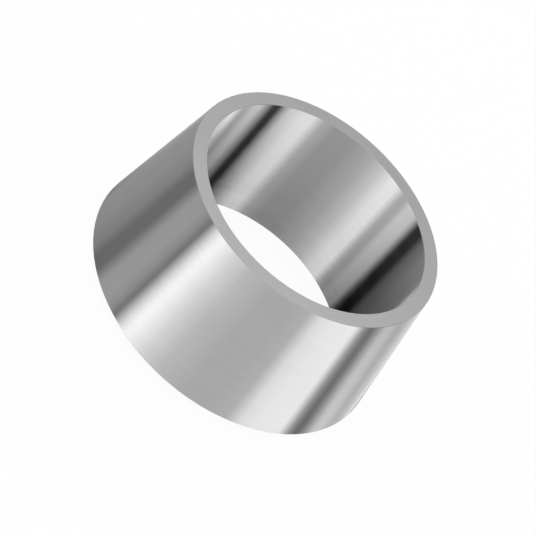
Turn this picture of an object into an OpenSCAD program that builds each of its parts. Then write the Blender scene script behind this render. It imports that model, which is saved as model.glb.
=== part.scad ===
// Compression ferrule: one turned metal ring that slides over a tube.
// Its outside tapers from a thick back, which the nut pushes on, to a thin nose,
// which the socket of the fitting squeezes onto the tube.
// It stands on its back face, with the nose up and the bore along Z.

/* [Tube] */
// Outside diameter of the tube that the ferrule grips
tube_d = 12.7; // [6:0.1:25.4]
// How much wider the bore is than the tube, on the diameter
bore_clearance = 0.1; // [0.02:0.01:0.3]

/* [Walls] */
// Wall at the nose, measured across its flat end
nose_wall = 0.8; // [0.4:0.05:1.6]
// Wall at the widest ring, where the taper ends
widest_wall = 2; // [1.2:0.05:4]

/* [Lengths] */
// Length of the tapered outside, from the widest ring to the nose
taper_len = 7.75; // [3:0.05:16]
// Height of the bevel behind the widest ring, which seats in the nut
bevel_len = 0.4; // [0.1:0.05:0.9]

/* [Edges] */
// Angle of the back bevel, measured from the bore's axis
bevel_angle = 45; // [20:1:50]
// Height and depth of the small break on each edge of the nose and bore
edge_break = 0.02; // [0.01:0.01:0.12]

/* [Hidden] */
// Facets of a full turn where the part is only drawn
$fn = 180;

bore_r = (tube_d + bore_clearance) / 2;
nose_r = bore_r + nose_wall;
widest_r = bore_r + widest_wall;
total_len = bevel_len + taper_len;
back_r = widest_r - bevel_len * tan(bevel_angle);
// How far the taper's radius grows for each millimetre away from the nose
taper_slope = (widest_r - nose_r) / taper_len;

// Half of the ring's section, as [radius, height] points, turned around Z
function ring_section() = [
    [bore_r, edge_break],
    [bore_r + edge_break, 0],
    [back_r, 0],
    [widest_r, bevel_len],
    [nose_r + edge_break * taper_slope, total_len - edge_break],
    [nose_r - edge_break, total_len],
    [bore_r + edge_break, total_len],
    [bore_r, total_len - edge_break],
];

module ferrule() {
    color("silver") rotate_extrude() polygon(ring_section());
}

ferrule();
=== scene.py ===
import math

import bpy
from mathutils import Matrix, Vector


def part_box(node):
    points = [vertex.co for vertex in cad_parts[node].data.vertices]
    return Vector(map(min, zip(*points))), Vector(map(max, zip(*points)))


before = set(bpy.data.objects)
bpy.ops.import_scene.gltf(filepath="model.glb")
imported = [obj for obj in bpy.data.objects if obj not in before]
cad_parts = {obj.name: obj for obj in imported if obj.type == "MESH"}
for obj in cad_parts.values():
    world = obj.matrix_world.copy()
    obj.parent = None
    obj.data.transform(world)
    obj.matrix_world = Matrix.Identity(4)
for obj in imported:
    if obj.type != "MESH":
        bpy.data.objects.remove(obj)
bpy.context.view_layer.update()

# Looks of a compression ferrule: a turned and polished steel ring that stands on its back
# face in a white studio. Lengths are in metres, the lens and sensor in millimetres, and angles
# in degrees. The ring's bore runs along Z. An azimuth is 0 towards the camera's side (-Y) and
# 90 towards +X.

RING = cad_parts["ferrule"]
_, RING_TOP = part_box("ferrule")
NOSE_CENTRE = Vector((0, 0, RING_TOP.z))

# Camera
EYE_DISTANCE = 0.1219
EYE_ELEVATION = 36.92
AIM_POINT = Vector((0.000235, 0, 0.00315))
CAMERA_ROLL = 42.78
LENS_MM = 165.4
SENSOR_MM = 36
CLIP_NEAR = 0.005
CLIP_FAR = 5

# Floor. FLOOR_GLOW is the share of plain white that the camera sees in it.
FLOOR_RADIUS = 0.6
FLOOR_SIDES = 96
FLOOR_GAP = 0.00001
FLOOR_COLOUR = (0.95, 0.95, 0.95, 1)
FLOOR_GLOW = 0.94

# Steel
STEEL_DULL = (0.61, 0.61, 0.61, 1)
STEEL_CLEAN = (0.71, 0.71, 0.71, 1)
ROUGHNESS_LOW = 0.06
ROUGHNESS_HIGH = 0.10
ANISOTROPY = 0.5
ACROSS_THE_MARKS = 0.25

# Turning marks, made of noise: how far apart they are, how often they break off around the
# ring, and how many finer sizes they hold. Most of the noise lies between the last two values.
FINE_MARK = 0.00007
FINE_ARC = 1.2
FINE_DETAIL = 2
BROAD_MARK = 0.0009
BROAD_ARC = 2.5
BROAD_DETAIL = 3
MARK_DEPTH = 0.0000002
NOISE_LOW = 0.3
NOISE_HIGH = 0.7

# What the polished steel reflects: soft boxes, walls and dark flags that stand around the
# ring. Each is (name, first azimuth, last azimuth, and its brightness at the top, the middle
# and the foot). The light fades evenly from one to the next.
STUDIO = [
    ("back wall", -180, -180, 0.70, 0.68, 0.55),
    ("left wall's near end", -154, -154, 0.41, 0.36, 0.06),
    ("left wall", -122, -122, 0.39, 0.33, 0.04),
    ("left wall's far end", -104, -104, 0.32, 0.21, 0.04),
    ("left flag", -95, -85, 0.21, 0.04, 0.0),
    ("left flag's edge", -81, -81, 0.30, 0.34, 0.0),
    ("left reflector's edge", -75, -75, 0.45, 0.88, 0.20),
    ("left reflector", -63, -63, 0.46, 0.96, 0.26),
    ("narrow flag's edge", -56, -56, 0.39, 0.63, 0.25),
    ("narrow flag", -50, -50, 0.23, 0.66, 0.35),
    ("key's edge", -42, -42, 1.04, 1.20, 0.88),
    ("key soft box", -37, -33, 1.37, 1.20, 0.80),
    ("key's near screen", -19, -19, 0.97, 0.82, 0.55),
    ("key's far screen", -5, -5, 0.72, 0.59, 0.41),
    ("front wall", 16, 36, 0.59, 0.45, 0.29),
    ("front wall's bright end", 49, 49, 0.64, 0.63, 0.38),
    ("fill soft box", 59, 59, 1.08, 1.15, 0.74),
    ("fill's middle", 69, 69, 1.19, 1.13, 0.70),
    ("fill's far end", 84, 84, 1.23, 0.94, 0.20),
    ("fill's dim end", 89, 89, 1.24, 0.61, 0.12),
    ("right flag's edge", 96.5, 96.5, 0.44, 0.03, 0.02),
    ("right flag", 103, 103, 0.22, 0.06, 0.02),
    ("right flag's end", 107, 107, 0.28, 0.30, 0.10),
    ("strip light", 118, 124, 0.70, 0.92, 0.25),
    ("right wall", 136, 136, 0.48, 0.63, 0.16),
    ("back window", 158, 158, 0.60, 0.79, 0.46),
    ("back window's end", 170, 170, 0.78, 0.76, 0.66),
    ("back wall", 180, 180, 0.70, 0.68, 0.55),
]
FIRST_AZIMUTH = -180
LAST_AZIMUTH = 180
TOP_ELEVATION = -29
MIDDLE_ELEVATION = -35.5
FOOT_ELEVATION = -38.5

# A small lamp low down by the back window, which shows as a bright crescent inside the nose
LAMP_AZIMUTH = 154
LAMP_ELEVATION = -36.6
LAMP_HALF_WIDTH = 14
LAMP_HALF_HEIGHT = 0.75
LAMP_LIGHT = 0.42

# The ceiling, which the nose's flat end reflects. The walls fade into it. It is brighter
# overhead than at its edge, and dimmer at the front, where a direction's Y is low.
CEILING_STARTS = -15
CEILING_EDGE = 30
CEILING_EDGE_LIGHT = 0.41
CEILING_TOP = 42
CEILING_TOP_LIGHT = 0.75
CEILING_FRONT_SHARE = 0.78
CEILING_FRONT_Y = -0.5
CEILING_BACK_Y = 0.5

# The pale ground, which lightens the cards' foot in steep views
GROUND_STARTS = -41
GROUND_FULL = -60
GROUND_SHARE = 0.5
GROUND_LIGHT = 0.8


def blank_tree(owner):
    """The emptied node tree of a new material or world."""
    owner.use_nodes = True
    owner.node_tree.nodes.clear()
    return owner.node_tree


def add_node(tree, kind, inputs=(), **settings):
    """Adds a node. inputs pairs a socket's name or number with a value or another node's output."""
    made = tree.nodes.new(kind)
    for name, value in settings.items():
        setattr(made, name, value)
    for socket, value in dict(inputs).items():
        if isinstance(value, bpy.types.NodeSocket):
            tree.links.new(value, made.inputs[socket])
        else:
            made.inputs[socket].default_value = value
    return made


def calculate(tree, operation, *values):
    return add_node(tree, "ShaderNodeMath", enumerate(values), operation=operation).outputs[0]


def rescale(tree, value, low, high, new_low, new_high):
    """Maps low..high onto new_low..new_high, and holds the ends."""
    inputs = {"Value": value, "From Min": low, "From Max": high, "To Min": new_low, "To Max": new_high}
    return add_node(tree, "ShaderNodeMapRange", inputs).outputs["Result"]


def mix_values(tree, factor, first, second):
    inputs = {"Factor": factor, "A": first, "B": second}
    return add_node(tree, "ShaderNodeMix", inputs, data_type="FLOAT").outputs["Result"]


def mix_colours(tree, factor, first, second):
    mixed = add_node(tree, "ShaderNodeMix", {"Factor": factor}, data_type="RGBA")
    mixed.inputs["A"].default_value = first
    mixed.inputs["B"].default_value = second
    return mixed.outputs["Result"]


def separate(tree, vector):
    return add_node(tree, "ShaderNodeSeparateXYZ", {0: vector}).outputs


def combine(tree, x, y, z):
    return add_node(tree, "ShaderNodeCombineXYZ", {"X": x, "Y": y, "Z": z}).outputs[0]


def vector_math(tree, operation, inputs, result="Vector"):
    """Vector arithmetic. result is "Value" where a single number comes out."""
    return add_node(tree, "ShaderNodeVectorMath", inputs, operation=operation).outputs[result]


def make_camera():
    """The photo's viewpoint: it looks down into the bore, rolled so that the nose points up and right."""
    elevation = math.radians(EYE_ELEVATION)
    eye = NOSE_CENTRE + EYE_DISTANCE * Vector((0, -math.cos(elevation), math.sin(elevation)))
    camera = bpy.data.objects.new("camera", bpy.data.cameras.new("camera"))
    camera.data.sensor_width = SENSOR_MM
    camera.data.lens = LENS_MM
    camera.data.clip_start = CLIP_NEAR
    camera.data.clip_end = CLIP_FAR
    level = (AIM_POINT - eye).to_track_quat("-Z", "Y").to_matrix().to_4x4()
    roll = Matrix.Rotation(math.radians(CAMERA_ROLL), 4, "Z")
    camera.matrix_world = Matrix.Translation(eye) @ level @ roll
    bpy.context.scene.collection.objects.link(camera)
    bpy.context.scene.camera = camera


def card_row(tree, turn, level):
    """Brightness of the cards at one level, for a direction given as a share of a full turn."""
    edges = {}
    for _, first, last, *lights in STUDIO:
        edges[first] = lights[level]
        edges[last] = lights[level]
    ramp = add_node(tree, "ShaderNodeValToRGB", {"Fac": turn})
    stops = ramp.color_ramp.elements
    while len(stops) < len(edges):
        stops.new(1)
    for stop, (azimuth, light) in zip(stops, edges.items()):
        stop.position = (azimuth - FIRST_AZIMUTH) / (LAST_AZIMUTH - FIRST_AZIMUTH)
        stop.color = (light, light, light, 1)
    return ramp.outputs["Color"]


def card_light(tree, azimuth, elevation):
    """Brightness of the cards, which changes evenly between their three levels."""
    turn = rescale(tree, azimuth, FIRST_AZIMUTH, LAST_AZIMUTH, 0, 1)
    top, middle, foot = [card_row(tree, turn, level) for level in range(3)]
    above_middle = rescale(tree, elevation, MIDDLE_ELEVATION, TOP_ELEVATION, 0, 1)
    above_foot = rescale(tree, elevation, FOOT_ELEVATION, MIDDLE_ELEVATION, 0, 1)
    upper = mix_values(tree, above_middle, middle, top)
    return mix_values(tree, above_foot, foot, upper)


def lamp_light(tree, azimuth, elevation):
    """Brightness of the low lamp, which fades from its middle to its rim."""
    left, right = LAMP_AZIMUTH - LAMP_HALF_WIDTH, LAMP_AZIMUTH + LAMP_HALF_WIDTH
    bottom, top = LAMP_ELEVATION - LAMP_HALF_HEIGHT, LAMP_ELEVATION + LAMP_HALF_HEIGHT
    across = rescale(tree, azimuth, left, right, -1, 1)
    up = rescale(tree, elevation, bottom, top, -1, 1)
    from_middle = vector_math(tree, "LENGTH", {0: combine(tree, across, up, 0)}, "Value")
    return rescale(tree, from_middle, 0, 1, LAMP_LIGHT, 0)


def ceiling_light(tree, y, elevation):
    """Brightness of the ceiling."""
    overhead = rescale(tree, elevation, CEILING_EDGE, CEILING_TOP, CEILING_EDGE_LIGHT, CEILING_TOP_LIGHT)
    share = rescale(tree, y, CEILING_FRONT_Y, CEILING_BACK_Y, CEILING_FRONT_SHARE, 1)
    return calculate(tree, "MULTIPLY", overhead, share)


def studio_light(tree):
    """Brightness of the whole studio in each direction."""
    x, y, z = separate(tree, add_node(tree, "ShaderNodeTexCoord").outputs["Generated"])
    forward = calculate(tree, "MULTIPLY", y, -1)
    azimuth = calculate(tree, "DEGREES", calculate(tree, "ARCTAN2", x, forward))
    elevation = calculate(tree, "DEGREES", calculate(tree, "ARCSINE", z))

    cards = card_light(tree, azimuth, elevation)
    walls = calculate(tree, "ADD", cards, lamp_light(tree, azimuth, elevation))
    height = rescale(tree, elevation, CEILING_STARTS, CEILING_EDGE, 0, 1)
    room = mix_values(tree, height, walls, ceiling_light(tree, y, elevation))
    depth = rescale(tree, elevation, GROUND_FULL, GROUND_STARTS, GROUND_SHARE, 0)
    return mix_values(tree, depth, room, GROUND_LIGHT)


def make_studio():
    """White light from all sides, with soft boxes and flags that only reflections show."""
    world = bpy.data.worlds.new("studio")
    bpy.context.scene.world = world
    tree = blank_tree(world)
    mirrored = add_node(tree, "ShaderNodeLightPath").outputs["Is Glossy Ray"]
    light = mix_values(tree, mirrored, 1, studio_light(tree))
    background = add_node(tree, "ShaderNodeBackground", {"Color": light})
    add_node(tree, "ShaderNodeOutputWorld", {"Surface": background.outputs[0]})


def floor_material():
    """White for the camera, with the ring's shadow kept faint."""
    material = bpy.data.materials.new("white_floor")
    tree = blank_tree(material)
    matt = add_node(tree, "ShaderNodeBsdfDiffuse", {"Color": FLOOR_COLOUR})
    glow = add_node(tree, "ShaderNodeEmission", {"Color": (1, 1, 1, 1), "Strength": 1})
    seen = add_node(tree, "ShaderNodeLightPath").outputs["Is Camera Ray"]
    share = calculate(tree, "MULTIPLY", seen, FLOOR_GLOW)
    look = add_node(tree, "ShaderNodeMixShader", {0: share, 1: matt.outputs[0], 2: glow.outputs[0]})
    add_node(tree, "ShaderNodeOutputMaterial", {"Surface": look.outputs[0]})
    return material


def make_floor():
    """A plain disc under the ring. Reflections pass through it, to the studio below."""
    turns = [math.tau * side / FLOOR_SIDES for side in range(FLOOR_SIDES)]
    rim = [(FLOOR_RADIUS * math.cos(turn), FLOOR_RADIUS * math.sin(turn), -FLOOR_GAP) for turn in turns]
    mesh = bpy.data.meshes.new("floor")
    mesh.from_pydata(rim, [], [list(range(FLOOR_SIDES))])
    floor = bpy.data.objects.new("floor", mesh)
    floor.data.materials.append(floor_material())
    floor.visible_glossy = False
    bpy.context.scene.collection.objects.link(floor)


def ring_coordinates(tree):
    """The direction straight out from the axis, and a distance that grows across every face."""
    x, y, z = separate(tree, add_node(tree, "ShaderNodeTexCoord").outputs["Object"])
    flat = combine(tree, x, y, 0)
    radius = vector_math(tree, "LENGTH", {0: flat}, "Value")
    outward = vector_math(tree, "NORMALIZE", {0: flat})
    return outward, calculate(tree, "ADD", radius, z)


def mark_pattern(tree, outward, across, arc, pitch, detail):
    """Noise drawn out around the ring: arc sets how short the streaks are, pitch how thin."""
    x, y, _ = separate(tree, vector_math(tree, "SCALE", {0: outward, "Scale": arc}))
    place = combine(tree, x, y, calculate(tree, "DIVIDE", across, pitch))
    inputs = {"Vector": place, "Scale": 1, "Detail": detail}
    return add_node(tree, "ShaderNodeTexNoise", inputs).outputs["Fac"]


def turned_normal(tree, outward):
    """The normal of a truly round face, which never points sideways along the ring.

    The mesh's own normals lean sideways at its seam, at +X, and would break the reflections.
    """
    normal = add_node(tree, "ShaderNodeTexCoord").outputs["Normal"]
    share = vector_math(tree, "DOT_PRODUCT", {0: normal, 1: outward}, "Value")
    level = vector_math(tree, "SCALE", {0: outward, "Scale": share})
    upright = combine(tree, 0, 0, separate(tree, normal)["Z"])
    whole = vector_math(tree, "ADD", {0: level, 1: upright})
    spaces = {"vector_type": "NORMAL", "convert_from": "OBJECT", "convert_to": "WORLD"}
    return add_node(tree, "ShaderNodeVectorTransform", {0: whole}, **spaces).outputs[0]


def steel_material():
    """Turned and polished steel: faint marks run around the ring on every face."""
    material = bpy.data.materials.new("turned_steel")
    tree = blank_tree(material)
    outward, across = ring_coordinates(tree)
    fine = mark_pattern(tree, outward, across, FINE_ARC, FINE_MARK, FINE_DETAIL)
    broad = mark_pattern(tree, outward, across, BROAD_ARC, BROAD_MARK, BROAD_DETAIL)
    average = mix_values(tree, 0.5, fine, broad)

    bump = add_node(tree, "ShaderNodeBump", {
        "Height": fine,
        "Strength": 1,
        "Distance": MARK_DEPTH,
        "Normal": turned_normal(tree, outward),
    })
    tangent = add_node(tree, "ShaderNodeTangent", direction_type="RADIAL", axis="Z")
    steel = add_node(tree, "ShaderNodeBsdfPrincipled", {
        "Base Color": mix_colours(tree, average, STEEL_DULL, STEEL_CLEAN),
        "Metallic": 1,
        "Roughness": rescale(tree, broad, NOISE_LOW, NOISE_HIGH, ROUGHNESS_LOW, ROUGHNESS_HIGH),
        "Anisotropic": ANISOTROPY,
        "Anisotropic Rotation": ACROSS_THE_MARKS,
        "Tangent": tangent.outputs[0],
        "Normal": bump.outputs[0],
    })
    add_node(tree, "ShaderNodeOutputMaterial", {"Surface": steel.outputs[0]})
    return material


def dress_ring():
    """Gives the ring its steel. The ring isn't in its own reflections, as in the photo."""
    steel = steel_material()
    for slot in RING.material_slots:
        slot.material = steel
    RING.visible_glossy = False


bpy.context.scene.view_settings.view_transform = "Standard"
make_camera()
make_studio()
make_floor()
dress_ring()
